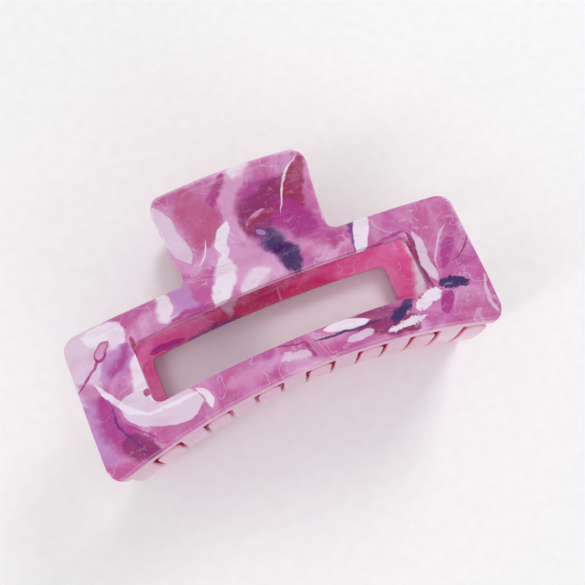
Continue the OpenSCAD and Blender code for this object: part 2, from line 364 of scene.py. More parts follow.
def comb_line(web_end):
    """The toothed edge from the left end of the web to the right, with rounded corners."""
    web = -section_length(HALF_DEPTH - WEB_HEIGHT)
    tip = -section_length(-(HALF_DEPTH - WEB_HEIGHT - TIP_CLEARANCE))
    points = []
    for i in range(TEETH):
        middle = (i - (TEETH - 1) / 2) * TOOTH_PITCH - TOOTH_PITCH / 4
        left, right = middle - TOOTH_WIDTH / 2, middle + TOOTH_WIDTH / 2
        points += [(left, web, ROOT_CORNER), (left, tip, TOOTH_CORNER),
                   (right, tip, TOOTH_CORNER), (right, web, ROOT_CORNER)]
    # The first tooth stands so near the web's end that one runs into the other
    first = points[1][0]
    points[:1] = [(-web_end, web + 2, 0), (-web_end, web + END_SLOPE, WEB_CORNER),
                  (first, web - END_SLOPE, WEB_CORNER)]
    points += [(web_end, web, WEB_CORNER), (web_end, web + 2, 0)]
    return rounded(points)[1:-1]


def jaw_outline():
    half = face_half()
    return densified(comb_line(half[0][0]) + half + mirrored(half))


def window_outline():
    """The window, run clockwise so that the jaw is always on the left of the line."""
    low = (0, WINDOW_BOTTOM + WINDOW_BOTTOM_RISE - arc_radius(HALF_WINDOW, WINDOW_BOTTOM_RISE))
    high = (0, WINDOW_TOP + WINDOW_TOP_RISE - arc_radius(HALF_WINDOW, WINDOW_TOP_RISE))
    low_arc = arc_radius(HALF_WINDOW, WINDOW_BOTTOM_RISE)
    high_arc = arc_radius(HALF_WINDOW, WINDOW_TOP_RISE)
    sill = above(HALF_WINDOW - WINDOW_CORNER, low, low_arc + WINDOW_CORNER)
    head = above(HALF_WINDOW - WINDOW_CORNER, high, high_arc - WINDOW_CORNER)
    half = (arc(low, low_arc, math.pi / 2, bearing(low, sill))
            + arc(sill, WINDOW_CORNER, bearing(sill, low), 0)
            + arc(head, WINDOW_CORNER, 0, bearing(high, head))
            + arc(high, high_arc, bearing(high, head), math.pi / 2))
    return densified([flat(p) for p in reversed(half + mirrored(half))])


# ---------------------------------------------------------------- plates with rounded edges
def inset(loop, distance, stretch):
    """A closed outline moved to its left by a distance, measured on the real surface."""
    points = np.array(loop)
    scale = np.array([stretch(v) for v in points[:, 1]])
    ahead = np.roll(points, -1, 0) - points
    ahead[:, 0] *= scale
    ahead /= np.linalg.norm(ahead, axis=1)[:, None]
    along = ahead + np.roll(ahead, 1, 0)
    along /= np.linalg.norm(along, axis=1)[:, None]
    moved = points + distance * np.stack([-along[:, 1] / scale, along[:, 0]], 1)
    return moved


def inside(points, loops):
    """Which points lie inside an odd number of the closed outlines."""
    result = np.zeros(len(points), bool)
    for loop in loops:
        for (x0, y0), (x1, y1) in zip(loop, np.roll(loop, -1, 0)):
            if y0 == y1:
                continue
            crosses = (points[:, 1] > y0) != (points[:, 1] > y1)
            result ^= crosses & (points[:, 0] < x0 + (points[:, 1] - y0) * (x1 - x0) / (y1 - y0))
    return result


def fill_points(loops, spacing, rows):
    """A staggered grid inside the outlines, with extra rows, clear of the outlines' points."""
    everything = np.concatenate(loops)
    low, high = everything.min(0), everything.max(0)
    grid = []
    for j, v in enumerate(np.arange(low[1], high[1], spacing * 0.87)):
        if any(abs(v - row) < spacing * 0.5 for row in rows):
            continue
        grid += [(a, v) for a in np.arange(low[0] + spacing / 2 * (j % 2), high[0], spacing)]
    for row in rows:
        grid += [(a, row) for a in np.arange(low[0], high[0], spacing)]
    grid = np.array(grid)
    grid = grid[inside(grid, loops)]
    clear = np.ones(len(grid), bool)
    for start in range(0, len(grid), 500):
        part = grid[start:start + 500]
        gap = np.linalg.norm(part[:, None] - everything[None], axis=2).min(1)
        clear[start:start + 500] = gap > spacing * 0.55
    return grid[clear]


def plate(outlines, rims, place, thickness, stretch=lambda v: 1.0, spacing=GRID, rows=()):
    """A closed plate between two surfaces, with its outer edge and its holes rounded.

    Each outline runs with the plate on its left. place(a, v, depth) gives a point in mm.
    """
    loops = [inset(loop, rim + SUPPORT, stretch) for loop, rim in zip(outlines, rims)]
    inner = fill_points(loops, spacing, rows)
    points = np.concatenate(loops + [inner])
    edges, first = [], 0
    for loop in loops:
        count = len(loop)
        edges += [(first + i, first + (i + 1) % count) for i in range(count)]
        first += count
    verts, _, faces, origin, _, _ = delaunay_2d_cdt(
        [Vector(p) for p in points], edges, [], 0, 1e-7)
    flat_verts = np.array([tuple(v) for v in verts])
    middles = np.array([flat_verts[list(f)].mean(0) for f in faces])
    keep = inside(middles, loops)
    index = {source: i for i, sources in enumerate(origin) for source in sources}
    mesh = bmesh.new()

    def ring(loop, distance, depth):
        return [mesh.verts.new(place(a, v, depth)) for a, v in inset(loop, distance, stretch)]

    top = [mesh.verts.new(place(a, v, 0.0)) for a, v in flat_verts]
    bottom = [mesh.verts.new(place(a, v, thickness)) for a, v in flat_verts]
    for face, kept in zip(faces, keep):
        if kept:
            mesh.faces.new([top[i] for i in face])
            mesh.faces.new([bottom[i] for i in reversed(face)])
    first = 0
    for loop, rim in zip(outlines, rims):
        ids = [index[first + i] for i in range(len(loop))]
        first += len(loop)
        turns = [math.pi / 2 * (1 - k / RIM_STEPS) for k in range(RIM_STEPS + 1)]
        steps = [(rim * (1 - math.cos(t)), rim * (1 - math.sin(t))) for t in turns]
        rings = [[top[i] for i in ids]]
        rings += [ring(loop, d, depth) for d, depth in steps]
        rings += [ring(loop, d, thickness - depth) for d, depth in reversed(steps)]
        rings += [[bottom[i] for i in ids]]
        for upper, lower in zip(rings, rings[1:]):
            for i in range(len(upper)):
                j = (i + 1) % len(upper)
                mesh.faces.new((upper[i], lower[i], lower[j], upper[j]))
    bmesh.ops.delete(mesh, geom=[v for v in mesh.verts if not v.link_faces], context="VERTS")
    bmesh.ops.recalc_face_normals(mesh, faces=mesh.faces)
    return mesh


def to_object(mesh, name, matrix=Matrix.Identity(4)):
    """Turns a mesh in the jaw's frame, in mm, into an object in the row frame, in metres."""
    to_row = Matrix.Diagonal((MM, MM, MM, 1)) @ Matrix.Translation((0, -CENTRE_Y, HALF_DEPTH))
    data = bpy.data.meshes.new(name)
    mesh.transform(to_row @ matrix)
    mesh.to_mesh(data)
    mesh.free()
    data.shade_smooth()
    obj = bpy.data.objects.new(name, data)
    bpy.context.scene.collection.objects.link(obj)
    return obj


# ---------------------------------------------------------------- jaws
INNER_LUG_X = (WIRE + WIRE_GAP) * (COILS - 1) / 2 + WIRE / 2 + COIL_GAP + LUG_THICKNESS / 2
OUTER_LUG_X = INNER_LUG_X + LUG_THICKNESS + LUG_GAP
COIL_HALF = (WIRE + WIRE_GAP) * (COILS - 1) / 2


def lug_mesh(x):
    """One lug: a plate with a round eye for the pin, wide where it meets the neck."""
    root_z = NECK_HEIGHT - WALL / 2
    tilt = math.asin(LUG_RADIUS / math.hypot(LUG_ROOT / 2, root_z))
    lean = math.atan2(root_z, LUG_ROOT / 2) - tilt
    eye = arc((0, 0), LUG_RADIUS, math.pi - (math.pi / 2 - lean), 2 * math.pi + math.pi / 2 - lean)
    root = rounded([(*eye[-1], 0), (LUG_ROOT / 2, root_z, 0.8), (-LUG_ROOT / 2, root_z, 0.8),
                    (*eye[0], 0)])
    outline = densified(root[1:-1] + eye)
    bore = densified(arc((0, 0), BORE_RADIUS, 2 * math.pi, 0, 0.25)[:-1], 0.3)

    def place(y, z, depth):
        return x + LUG_THICKNESS / 2 - depth, PIN_Y + y, z

    return plate([outline, bore], [0.3, 0.15], place, LUG_THICKNESS, spacing=1.2)


def jaw_mesh():
    rows = [-BEND_LENGTH * i / 6 for i in range(7)]
    return plate([jaw_outline(), window_outline()], [RIM, WINDOW_RIM], place_jaw, WALL,
                 jaw_stretch, rows=rows)


def joined(obj, other):
    """Joins another closed mesh into an object as one solid."""
    modifier = obj.modifiers.new("join", "BOOLEAN")
    modifier.operation = "UNION"
    modifier.solver = "EXACT"
    modifier.object = other
    bpy.context.view_layer.update()
    graph = bpy.context.evaluated_depsgraph_get()
    data = bpy.data.meshes.new_from_object(obj.evaluated_get(graph))
    obj.modifiers.clear()
    obj.data = data
    obj.data.shade_smooth()
    bpy.data.objects.remove(other)


def make_jaw(name, turn):
    """A jaw with its two lugs, in the front jaw's place or turned over to the back."""
    matrix = Matrix.Rotation(turn, 4, "Y")
    jaw = to_object(jaw_mesh(), name, matrix)
    for x in (-OUTER_LUG_X, INNER_LUG_X):
        joined(jaw, to_object(lug_mesh(x), name + "_lug", matrix))
    return jaw


# ---------------------------------------------------------------- hinge pin and spring
def lathed(name, profile, centre, sides=48):
    """A solid turned about a line along x through a centre, from (x, radius) points."""
    mesh = bmesh.new()
    rings = []
    for x, radius in profile:
        rings.append([mesh.verts.new((x, centre[1] + radius * math.cos(2 * math.pi * i / sides),
                                      centre[2] + radius * math.sin(2 * math.pi * i / sides)))
                      for i in range(sides)])
    for one, two in zip(rings, rings[1:]):
        for i in range(sides):
            j = (i + 1) % sides
            mesh.faces.new((one[i], one[j], two[j], two[i]))
    mesh.faces.new(rings[0])
    mesh.faces.new(rings[-1])
    bmesh.ops.recalc_face_normals(mesh, faces=mesh.faces)
    return to_object(mesh, name)


def make_pin():
    """The steel pin, with a small rounded chamfer at each end."""
    low, high = (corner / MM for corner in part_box("hinge_pin"))
    half, radius, chamfer = (high.x - low.x) / 2, (high.z - low.z) / 2, 0.35
    end = [(half - chamfer * (1 - math.cos(t)), radius - chamfer * (1 - math.sin(t)))
           for t in np.linspace(math.pi / 2, 0, 5)]
    profile = [(half - 1, radius)] + end + [(half - 0.02, 0.4)]
    profile = [(-x, r) for x, r in reversed(profile)] + profile
    return lathed("hinge_pin_steel", profile, (0, PIN_Y, 0))


def spring_path():
    """The wire's middle line: a leg, the close coil on the pin, and the other leg."""
    inner = TAB_ARC + WALL
    drop = math.sqrt(inner ** 2 - LEG_REACH ** 2)
    foot_z = NECK_HEIGHT + TAB_ARC - drop - (WIRE / 2 + FOOT_CLEARANCE) * inner / drop
    reach = math.hypot(LEG_REACH, foot_z)
    lean = math.atan2(foot_z, LEG_REACH) - math.asin(COIL_RADIUS / reach)
    corner = 1.0
    leg_end = Vector((COIL_HALF, LEG_REACH, foot_z))
    tangent = Vector((COIL_HALF, -COIL_RADIUS * math.sin(lean), COIL_RADIUS * math.cos(lean)))
    along = (leg_end - tangent).normalized()
    foot = Vector((-1, 0, 0))
    leg = [tangent + along * t for t in np.arange(0, (leg_end - tangent).length - corner, 0.6)]
    bend_start = leg_end - along * corner
    leg += [bend_start + along * corner * math.sin(t) + foot * corner * (1 - math.cos(t))
            for t in np.linspace(0, math.pi / 2, 7)]
    leg += [leg_end + foot * t for t in np.linspace(corner + 0.3, FOOT_LENGTH, 5)]
    sweep = 2 * math.pi * COILS - math.pi - 2 * lean
    count = 32 * COILS
    coil = []
    for i in range(1, count):
        part = i / count
        angle = -math.pi / 2 - lean - sweep * part
        coil.append(Vector((COIL_HALF * (2 * part - 1), COIL_RADIUS * math.cos(angle),
                            COIL_RADIUS * math.sin(angle))))
    other = [Vector((-p.x, p.y, -p.z)) for p in reversed(leg)]
    return other + coil + leg


def tube(name, path, radius, sides=14):
    """A round wire along a path, with domed ends."""
    mesh = bmesh.new()
    count = len(path)
    tangents = [(path[min(i + 1, count - 1)] - path[max(i - 1, 0)]).normalized()
                for i in range(count)]
    normal = tangents[0].orthogonal().normalized()
    rings = []

    def ring(centre, tangent, size):
        side = tangent.cross(normal)
        return [mesh.verts.new(centre + size * (normal * math.cos(2 * math.pi * i / sides)
                                                + side * math.sin(2 * math.pi * i / sides)))
                for i in range(sides)]

    dome = [(0.3, 0.97), (0.55, 0.85), (0.75, 0.6), (0.83, 0.3)]
    for i, (point, tangent) in enumerate(zip(path, tangents)):
        normal = (normal - tangent * normal.dot(tangent)).normalized()
        if i == 0:
            rings += [ring(point - tangent * radius * away, tangent, radius * size)
                      for away, size in reversed(dome)]
        rings.append(ring(point, tangent, radius))
        if i == count - 1:
            rings += [ring(point + tangent * radius * away, tangent, radius * size)
                      for away, size in dome]
    for one, two in zip(rings, rings[1:]):
        for i in range(sides):
            j = (i + 1) % sides
            mesh.faces.new((one[i], one[j], two[j], two[i]))
    mesh.faces.new(rings[0])
    mesh.faces.new(rings[-1])
    bmesh.ops.recalc_face_normals(mesh, faces=mesh.faces)
    return to_object(mesh, name, Matrix.Translation((0, PIN_Y, 0)))


# ---------------------------------------------------------------- colours
def colour(red, green, blue):
    """A linear colour from its screen values, 0 to 255."""
    values = [v / 255 for v in (red, green, blue)]
    return (*[v / 12.92 if v < 0.04 else ((v + 0.055) / 1.055) ** 2.4 for v in values], 1.0)


PALETTE = {
    "white": colour(240, 230, 243),
    "pearl": colour(226, 205, 226),
    "lilac": colour(192, 138, 198),
    "pale": colour(218, 158, 205),
    "pink": colour(192, 84, 155),
    "rose": colour(186, 64, 122),
    "magenta": colour(172, 22, 135),
    "deep": colour(140, 0, 100),
    "crimson": colour(155, 4, 75),
    "violet": colour(100, 22, 125),
    "ink": colour(48, 0, 92),
    "beige": colour(212, 172, 188),
    # The next three colours are brighter copies of pink, pale and crimson, as painted light: the
    # back jaw's shaded inner side and the shaded sides of the teeth are drawn in them.
    "pink_with_painted_light": colour(228, 72, 150),
    "pale_with_painted_light": colour(235, 125, 180),
    "crimson_with_painted_light": colour(205, 10, 95),
}


# ---------------------------------------------------------------- places on the face
def tab(across, up):
    """A place on the thumb tab: -1 to 1 across it, and 0 to 1 from its root to its tip."""
    return across * TAB_TIP, FACE_TOP + up * TAB_LENGTH


def panel(side, out, up):
    """A place beside the window: 0 to 1 out to the clip's end, and 0 to 1 up the face."""
    x = side * (HALF_WINDOW + out * (HALF_LENGTH - HALF_WINDOW))
    return x, (2 * up - 1) * HALF_FACE


def left(out, up):
    return panel(-1, out, up)


def right(out, up):
    return panel(1, out, up)


def head(across, up):
    """A place on the bar above the window: -1 to 1 along it, 0 to 1 up from the window."""
    return across * HALF_WINDOW, WINDOW_TOP + up * (FACE_TOP - WINDOW_TOP)


def sill(across, up):
    """A place on the bar below the window: -1 to 1 along it, 0 to 1 up from the teeth."""
    x = across * HALF_WINDOW
    low = above(x, (0, TOE_CENTRE_Y), OUTER_BEND[0])[1]
    high = WINDOW_BOTTOM + WINDOW_BOTTOM_RISE * (1 - across ** 2)
    return x, low + up * (high - low)


# How much wider the soft streaks' edges are drawn than their listed softness
SOFT_EDGE = 1.8

# Each streak is a colour, two ends, half its width, how far its middle bows to the left of the
# line between its ends, the softness of its edges, its strength and how it is warped
FRONT_STREAKS = [
    # Left panel
    ("pearl", left(1.2, 0.55), left(0.6, 1.05), 5.5, 0, 1.5, 0.9, "soft"),
    ("white", left(0.7, 0.95), left(0.0, 0.88), 2.6, 0, 0.8, 0.95, "soft"),
    ("lilac", left(0.9, 0.6), left(0.8, 0.1), 2.4, 0, 1.0, 0.8, "soft"),
    ("pink", left(0.9, 0.7), left(0.7, 0.45), 1.6, 0, 0.8, 0.7, "soft"),
    ("magenta", left(0.75, 0.6), left(0.4, 0.1), 2.6, -1, 1.5, 0.9, "soft"),
    ("lilac", left(0.05, 0.83), left(0.65, 0.6), 2.6, 0, 0.7, 0.8, "soft"),
    ("magenta", left(0.0, 0.84), left(0.55, 0.6), 1.0, -0.6, 0.9, 0.85, "soft"),
    ("white", left(0.05, 0.75), left(0.15, 0.42), 1.9, 0, 0.5, 0.9, "soft"),
    ("deep", left(0.6, 0.25), left(0.25, 0.05), 2.4, 0, 0.7, 0.9, "soft"),
    ("magenta", left(1.0, 0.62), left(0.45, 0.85), 0.3, -0.6, 0.15, 0.95, "crisp"),
    ("magenta", left(0.6, 0.76), left(0.3, 0.88), 1.0, 0.4, 0.2, 0.95, "crisp"),
    ("pale", left(0.57, 0.78), left(0.36, 0.86), 0.6, 0.3, 0.2, 1.0, "crisp"),
    ("pearl", left(0.5, 0.45), sill(-0.7, 0.45), 4.0, -1, 0.3, 1.0, "crisp"),
    ("white", left(0.7, 0.65), left(0.1, 0.33), 0.7, -1.5, 0.3, 0.95, "crisp"),
    ("white", left(0.2, 0.33), sill(-0.7, 0.75), 0.45, 0, 0.25, 0.95, "crisp"),
    ("white", sill(-0.72, 0.9), sill(-0.68, 0.1), 0.8, 1.0, 0.3, 0.9, "crisp"),
    ("violet", left(0.6, 0.5), left(0.3, 0.1), 0.25, -1.5, 0.15, 0.9, "crisp"),
    ("magenta", left(0.5, 0.35), left(0.1, 0.18), 0.25, -0.6, 0.15, 0.8, "crisp"),
    ("magenta", left(0.1, 0.46), left(-0.02, 0.47), 0.7, 0, 0.2, 0.9, "crisp"),
    ("crimson", left(0.0, 0.85), left(0.0, 0.72), 0.5, 0, 0.2, 0.9, "crisp"),
    # Bar above the window
    ("white", head(-0.75, 1.0), head(-0.7, 0.1), 1.8, 0, 0.9, 0.85, "soft"),
    ("lilac", head(-0.6, 1.1), head(-0.6, 0.1), 3.0, 0, 0.5, 0.85, "soft"),
    ("magenta", head(-0.72, 0.1), head(-0.45, 0.15), 1.0, 0, 0.8, 0.85, "soft"),
    ("pale", tab(-0.25, 0.2), head(-0.05, 0.1), 5.5, 0, 1.0, 0.9, "soft"),
    ("white", head(-0.2, 0.2), head(0.05, 0.5), 1.6, 0, 0.9, 0.7, "soft"),
    ("pink", tab(0.75, 0.2), head(0.5, 0.5), 4.0, 0, 1.2, 0.85, "soft"),
    ("pale", head(0.4, 0.15), head(0.6, 0.5), 0.8, 0, 0.5, 0.8, "soft"),
    ("magenta", head(0.52, 1.0), head(0.48, 0.3), 1.2, 0, 0.8, 0.7, "soft"),
    ("violet", head(0.7, 1.0), head(0.6, 0.1), 1.0, 0, 0.5, 0.9, "soft"),
    ("white", head(0.8, 1.0), head(0.65, 0.0), 1.8, 0, 0.4, 0.95, "crisp"),
    # Tab
    ("rose", tab(-0.55, 0.95), tab(-0.45, 0.3), 5.0, 0, 2.0, 0.8, "soft"),
    ("pearl", tab(-0.95, 0.9), tab(-0.8, 0.2), 2.0, 0, 0.4, 0.9, "crisp"),
    ("magenta", tab(-0.05, 0.97), tab(-0.3, 0.65), 1.1, 0, 0.6, 0.9, "soft"),
    ("pale", tab(0.2, 0.95), tab(-0.2, 0.4), 2.2, -1, 0.8, 0.8, "soft"),
    ("white", tab(0.0, 0.95), tab(0.3, 1.0), 1.3, 0, 0.6, 0.8, "soft"),
    ("magenta", tab(0.2, 0.85), tab(0.7, 0.05), 5.0, 0, 2.0, 0.8, "soft"),
    ("deep", tab(0.75, 0.75), tab(-0.05, 0.25), 4.4, 0, 1.5, 0.95, "soft"),
    ("crimson", tab(0.9, 0.9), tab(0.55, 0.2), 3.0, -1, 0.6, 0.95, "soft"),
    ("magenta", tab(0.35, 0.45), tab(0.8, 0.05), 4.0, 0, 1.4, 0.85, "soft"),
    ("pale", tab(0.0, 0.38), tab(0.42, 0.45), 0.5, 0.8, 0.25, 0.85, "crisp"),
    ("crimson", tab(0.0, 0.3), tab(0.45, 0.4), 1.0, 0.5, 0.4, 0.9, "soft"),
    ("white", tab(0.88, 0.9), tab(0.45, 0.4), 0.2, -0.8, 0.15, 0.9, "crisp"),
    ("pale", tab(1.0, 0.85), tab(0.95, 0.1), 1.0, 0, 0.5, 0.8, "soft"),
    ("white", tab(-0.2, 0.5), tab(-0.35, 0.1), 1.5, -1, 0.4, 0.95, "crisp"),
    ("white", tab(-0.35, 0.2), head(-0.4, 0.1), 2.6, 0.8, 0.7, 0.95, "soft"),
    ("white", tab(-0.75, 0.15), tab(-0.5, 0.4), 0.2, -0.8, 0.15, 0.9, "crisp"),
    ("violet", tab(0.1, 0.3), head(0.22, 0.1), 1.8, 0, 0.8, 0.85, "soft"),
    ("ink", tab(0.2, 0.25), head(0.25, 0.1), 2.4, 0, 0.8, 0.95, "soft"),
    ("lilac", tab(0.1, 0.3), tab(0.2, 0.22), 0.6, 0, 0.4, 0.8, "crisp"),
    # Painted shade: a dark line along the window's top edge, standing in for the shadow on the
    # window's wall there.
    ("ink", head(0.1, 0.0), head(0.4, 0.05), 0.8, 0, 0.5, 0.95, "soft"),
    # Right panel
    ("pearl", right(0.1, 0.82), right(0.15, 0.42), 1.1, 0, 0.3, 0.85, "crisp"),
    ("deep", right(0.0, 0.84), right(0.02, 0.38), 0.7, 0, 0.25, 0.95, "crisp"),
    ("magenta", head(0.7, 0.05), head(1.0, 0.1), 0.5, 0, 0.3, 0.85, "crisp"),
    ("magenta", right(0.75, 0.68), right(0.35, 0.5), 1.1, -0.8, 0.5, 0.85, "soft"),
    ("deep", right(1.0, 0.66), right(0.5, 0.52), 0.22, 1.0, 0.15, 0.95, "crisp"),
    ("pearl", right(0.75, 0.8), right(0.25, 0.5), 0.3, -1.2, 0.2, 0.7, "crisp"),
    ("magenta", right(0.3, 0.32), right(0.05, 0.18), 1.4, -0.6, 0.3, 0.95, "crisp"),
    ("white", right(0.15, 0.36), sill(0.85, 0.6), 1.5, 0, 0.3, 0.95, "frayed"),
    ("ink", right(0.15, 0.4), right(0.65, 0.34), 1.4, 0, 0.25, 1.0, "frayed"),
    ("pearl", right(0.95, 0.35), right(0.9, 0.05), 0.4, -1, 0.3, 0.7, "crisp"),
    # Bar below the window
    ("pale", sill(-0.55, 0.5), sill(-0.05, 0.4), 1.6, 0, 1.0, 0.6, "soft"),
    ("pearl", sill(-0.15, 0.5), sill(0.08, 0.3), 0.9, 0, 0.6, 0.8, "frayed"),
    ("magenta", sill(-0.15, 1.0), sill(0.06, 0.7), 0.3, 0, 0.2, 0.9, "crisp"),
    ("magenta", sill(0.04, 0.75), sill(0.08, 0.1), 0.5, 0, 0.3, 0.9, "crisp"),
    ("deep", sill(0.4, 0.4), sill(0.85, 0.3), 2.0, 0, 0.6, 0.95, "soft"),
    ("deep", sill(0.35, 0.85), sill(0.8, 0.8), 1.2, 0, 0.8, 0.8, "soft"),
    ("white", sill(0.2, 0.85), sill(0.5, 0.7), 1.2, 0, 0.4, 0.95, "crisp"),
    ("ink", sill(0.1, 0.6), sill(0.6, 0.55), 0.25, 0, 0.15, 0.9, "crisp"),
    ("pearl", sill(0.3, 0.25), sill(0.5, 0.3), 1.0, 0, 0.3, 0.85, "crisp"),
    ("white", sill(0.9, 0.3), sill(0.6, 0.1), 0.8, 0, 0.3, 0.9, "frayed"),
    ("ink", sill(0.85, 0.95), sill(0.65, 0.35), 1.3, 0, 0.25, 1.0, "frayed"),
]

BACK_STREAKS = [
    # A brightened crimson, painted light for the back jaw's shaded inner side.
    ("crimson_with_painted_light", head(-0.5, 0.2), head(0.6, 0.1), 4.0, 0, 2.0, 0.85, "soft"),
    ("violet", head(-0.7, 0.1), head(-0.2, 0.1), 1.6, 0, 0.8, 0.8, "soft"),
    ("magenta", head(-1.0, 0.1), head(-0.7, 0.2), 1.0, 0, 0.5, 0.85, "crisp"),
    ("pale", head(0.1, 0.6), head(0.15, -0.2), 0.3, -0.8, 0.2, 0.6, "crisp"),
    ("pearl", tab(-0.6, 0.9), head(-0.3, 0.3), 2.6, 2, 1.0, 0.8, "soft"),
    ("violet", tab(0.3, 0.5), head(0.4, 0.7), 1.6, 1, 0.8, 0.8, "soft"),
    ("deep", right(0.0, 0.45), right(0.25, 0.4), 0.8, 0, 0.3, 0.9, "crisp"),
    ("white", right(0.6, 0.95), right(0.3, 0.2), 1.4, 2, 0.8, 0.8, "soft"),
    ("magenta", left(0.9, 0.8), left(0.3, 0.1), 1.8, -2, 1.0, 0.8, "soft"),
    ("pearl", left(0.3, 0.3), sill(-0.4, 0.5), 2.0, -1, 0.5, 0.8, "crisp"),
    ("ink", sill(0.2, 0.4), sill(0.5, 0.7), 0.9, 0, 0.3, 0.8, "frayed"),
]


# ---------------------------------------------------------------- material tools
class Nodes:
    """Short calls that add nodes to a tree, join them and return an output socket."""

    def __init__(self, tree):
        self.tree = tree

    def add(self, kind, **settings):
        node = self.tree.nodes.new(kind)
        for name, value in settings.items():
            setattr(node, name, value)
        return node

    def put(self, socket, value):
        if isinstance(value, bpy.types.NodeSocket):
            self.tree.links.new(value, socket)
        else:
            socket.default_value = value

    def math(self, operation, *values):
        node = self.add("ShaderNodeMath", operation=operation)
        for socket, value in zip(node.inputs, values):
            self.put(socket, value)
        return node.outputs[0]

    def vector(self, operation, *values):
        node = self.add("ShaderNodeVectorMath", operation=operation)
        for socket, value in zip(node.inputs, values):
            self.put(socket, value)
        name = "Value" if operation in ("DOT_PRODUCT", "LENGTH") else "Vector"
        return node.outputs[name]

    def scaled(self, vector, factor):
        node = self.add("ShaderNodeVectorMath", operation="SCALE")
        self.put(node.inputs[0], vector)
        self.put(node.inputs["Scale"], factor)
        return node.outputs["Vector"]

    def noise(self, place, scale, detail=3.0, distortion=0.0, output="Fac"):
        node = self.add("ShaderNodeTexNoise")
        self.put(node.inputs["Vector"], place)
        self.put(node.inputs["Scale"], scale)
        self.put(node.inputs["Detail"], detail)
        self.put(node.inputs["Distortion"], distortion)
        return node.outputs[output]

    def step(self, value, low, high, to_low=0.0, to_high=1.0):
        node = self.add("ShaderNodeMapRange", interpolation_type="SMOOTHSTEP")
        for name, item in (("Value", value), ("From Min", low), ("From Max", high),
                           ("To Min", to_low), ("To Max", to_high)):
            self.put(node.inputs[name], item)
        return node.outputs[0]

    def mix(self, factor, one, two):
        node = self.add("ShaderNodeMix", data_type="RGBA")
        self.put(node.inputs["Factor"], factor)
        self.put(node.inputs[6], one)
        self.put(node.inputs[7], two)
        return node.outputs[2]

    def warped(self, place, scale, amount):
        """A place moved sideways by noise of a scale, up to about an amount in mm."""
        shift = self.vector("SUBTRACT", self.noise(place, scale, output="Color"), (0.5, 0.5, 0.5))
        return self.vector("ADD", place, self.scaled(shift, 4 * amount))


def streak_group():
    """A node group that gives how far a place lies inside one bowed, tapering streak."""
    group = bpy.data.node_groups.new("streak", "ShaderNodeTree")
    for name, kind in (("Place", "Vector"), ("Start", "Vector"), ("Ahead", "Vector"),
                       ("Side", "Vector"), ("Width", "Float"), ("Bow", "Float"),
                       ("Softness", "Float"), ("Strength", "Float")):
        group.interface.new_socket(name, in_out="INPUT", socket_type="NodeSocket" + kind)
    group.interface.new_socket("Mask", in_out="OUTPUT", socket_type="NodeSocketFloat")
    n = Nodes(group)
    given = n.add("NodeGroupInput").outputs
    local = n.vector("SUBTRACT", given["Place"], given["Start"])
    along = n.vector("DOT_PRODUCT", local, given["Ahead"])
    across = n.vector("DOT_PRODUCT", local, given["Side"])
    hump = n.math("MULTIPLY", n.math("MULTIPLY", along, 4.0), n.math("SUBTRACT", 1.0, along))
    blunt = n.math("MULTIPLY", hump, n.math("SUBTRACT", 2.0, hump))
    middle = n.math("MULTIPLY", hump, given["Bow"])
    away = n.math("ABSOLUTE", n.math("SUBTRACT", across, middle))
    within = n.math("SUBTRACT", n.math("MULTIPLY", blunt, given["Width"]), away)
    edge = n.math("MULTIPLY", given["Softness"], 0.5)
    mask = n.step(within, n.math("MULTIPLY", edge, -1.0), edge)
    result = n.add("NodeGroupOutput")
    n.put(result.inputs["Mask"], n.math("MULTIPLY", mask, given["Strength"]))
    return group


STREAK = streak_group()


def streaked(n, base, places, streaks):
    """The base colour with each streak laid over it in turn, with a flowing grain in them."""
    stretched = n.vector("MULTIPLY", places["crisp"], (0.3, 1.0, 1.0))
    flow = n.step(n.noise(stretched, 0.3, 2.0, 1.5), 0.3, 0.55, 0.8, 1.0)
    for name, start, end, width, bow, softness, strength, kind in streaks:
        line = Vector(end) - Vector(start)
        ahead = line / line.length_squared
        side = Vector((-line.y, line.x)).normalized()
        if kind == "soft":
            softness *= SOFT_EDGE
        node = n.add("ShaderNodeGroup", node_tree=STREAK)
        for socket, value in (("Place", places[kind]), ("Start", (*start, 0)),
                              ("Ahead", (*ahead, 0)), ("Side", (*side, 0)), ("Width", width),
                              ("Bow", bow), ("Softness", softness), ("Strength", strength)):
            n.put(node.inputs[socket], value)
        mask = n.math("MULTIPLY", node.outputs["Mask"], flow)
        base = n.mix(mask, base, PALETTE[name])
    return base


def new_material(name):
    material = bpy.data.materials.new(name)
    material.use_nodes = True
    return material, Nodes(material.node_tree), material.node_tree.nodes["Principled BSDF"]


def jaw_place(n):
    """The place on the jaw in mm, in the jaw's frame."""
    row = n.add("ShaderNodeTexCoord").outputs["Object"]
    return n.vector("ADD", n.scaled(row, 1 / MM), (0, CENTRE_Y, -HALF_DEPTH))


def bump(n, shader, height, strength, distance):
    node = n.add("ShaderNodeBump")
    n.put(node.inputs["Strength"], strength)
    n.put(node.inputs["Distance"], distance)
    n.put(node.inputs["Height"], height)
    n.put(shader.inputs["Normal"], node.outputs[0])


# ---------------------------------------------------------------- marbled plastic
# Depth below the face, and distance outside the bend, over which the comb takes its own colour
COMB_START = 0.9
COMB_FADE = 1.0
COMB_STRENGTH = 0.85
SCATTER_DEPTH = 1.5
SURFACE_RIPPLE = 0.2


